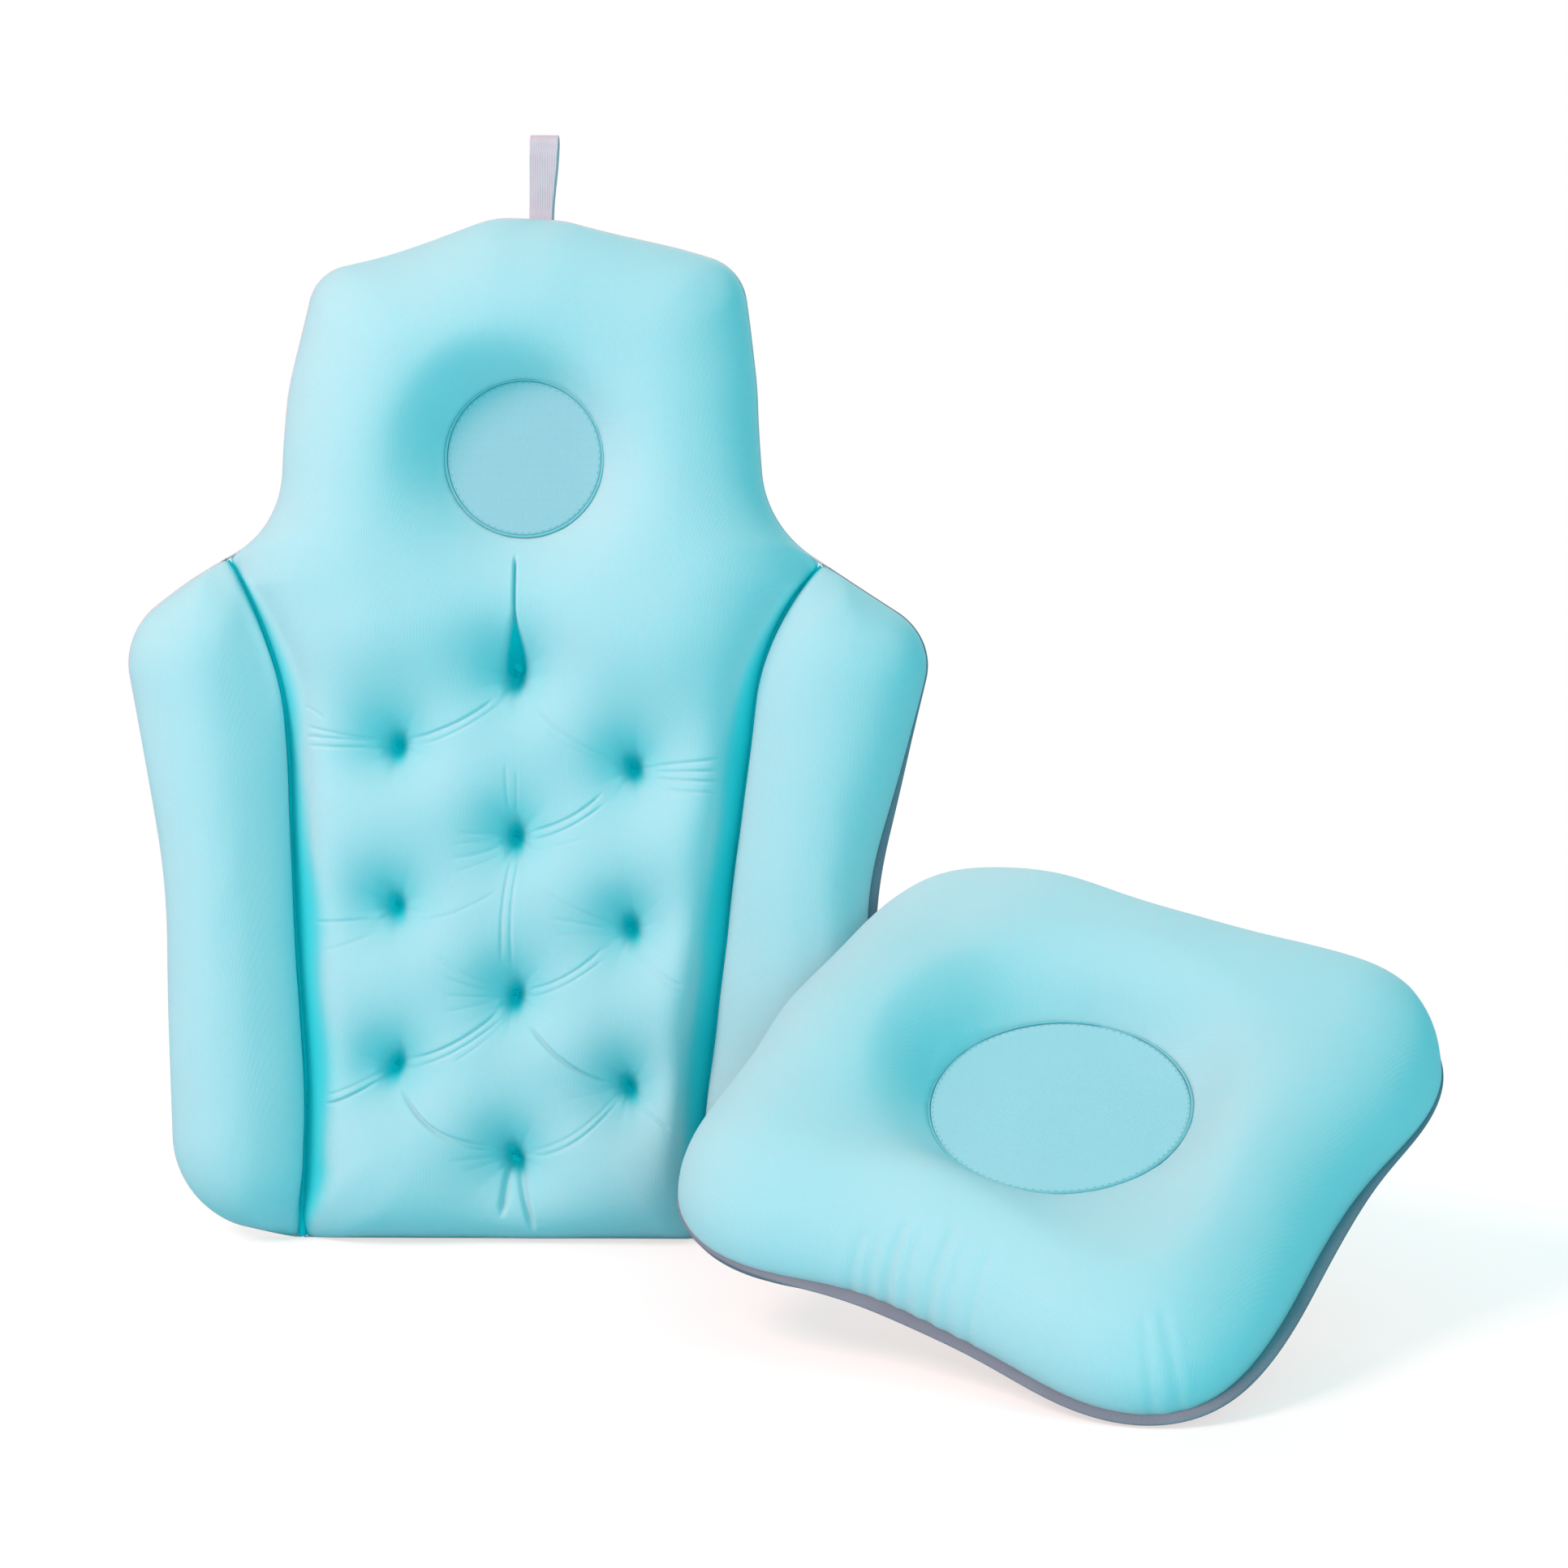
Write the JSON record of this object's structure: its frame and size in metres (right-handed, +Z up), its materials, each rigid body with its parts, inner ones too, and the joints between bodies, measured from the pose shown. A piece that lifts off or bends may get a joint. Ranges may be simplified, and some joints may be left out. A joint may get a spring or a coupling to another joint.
{
  "type": "shower chair cushion",
  "caption": "Tufted back cushion with head rest, fold-back side bolsters and hanging loop, and a loose square seat cushion leaning on it, for a shower or bath chair.",
  "frame": {"origin": "on the floor, at the middle of the footprint of the standing set", "axes": "+Z up, the back cushion faces -Y, the seat cushion is at its +X side"},
  "size_m": [0.7336, 0.4382, 0.6383],
  "materials": {
    "aqua_cover": "smooth matt stretch fabric",
    "blue_disc": "flat woven fabric",
    "grey_backing": "plain woven backing",
    "lilac_tape": "ribbed ribbon and corded binding",
    "teal_thread": "twisted sewing thread",
    "white_filling": "loose polyester wadding"
  },
  "bodies": {
    "back_cushion": {"back_front_panel": "aqua_cover", "back_filling": "white_filling", "back_rear_panel": "grey_backing", "head_disc": "blue_disc", "head_disc_stitch": "teal_thread", "tuft_tie_01": "teal_thread", "tuft_tie_02": "teal_thread", "tuft_tie_03": "teal_thread", "tuft_tie_04": "teal_thread", "tuft_tie_05": "teal_thread", "tuft_tie_06": "teal_thread", "tuft_tie_07": "teal_thread", "tuft_tie_08": "teal_thread", "tuft_tie_09": "teal_thread", "tuft_tie_10": "teal_thread", "crown_binding": "lilac_tape", "base_binding": "lilac_tape", "left_channel_seam": "teal_thread", "right_channel_seam": "teal_thread"},
    "left_bolster": {"left_bolster_front_panel": "aqua_cover", "left_bolster_filling": "white_filling", "left_bolster_rear_panel": "grey_backing", "left_bolster_binding": "lilac_tape"},
    "right_bolster": {"right_bolster_front_panel": "aqua_cover", "right_bolster_filling": "white_filling", "right_bolster_rear_panel": "grey_backing", "right_bolster_binding": "lilac_tape"},
    "hanging_loop": {"hanging_loop": "lilac_tape"},
    "seat_cushion": {"seat_top_panel": "aqua_cover", "seat_filling": "white_filling", "seat_bottom_panel": "grey_backing", "seat_binding": "lilac_tape", "seat_disc": "blue_disc", "seat_disc_stitch": "teal_thread"}
  },
  "joints": [
    {"name": "seat_lift", "type": "slide", "parent": "back_cushion", "child": "seat_cushion", "axis": [0, -0.7071, 0.7071], "range_m": [0, 0.3]},
    {"name": "left_bolster_fold", "type": "hinge", "parent": "back_cushion", "child": "left_bolster", "pos_m": [-0.26162, 0.15749, 0.17804], "axis": [0.0499, -0.1217, -0.9913], "range_deg": [0, 30], "stiffness_Nm_per_rad": 0.6},
    {"name": "right_bolster_fold", "type": "hinge", "parent": "back_cushion", "child": "right_bolster", "pos_m": [-0.00962, 0.15749, 0.17804], "axis": [0.0499, 0.1217, 0.9913], "range_deg": [0, 30], "stiffness_Nm_per_rad": 0.6},
    {"name": "loop_swing", "type": "hinge", "parent": "back_cushion", "child": "hanging_loop", "pos_m": [-0.12662, 0.20791, 0.58871], "axis": [1, 0, 0], "range_deg": [-60, 60], "stiffness_Nm_per_rad": 0.01}
  ]
}
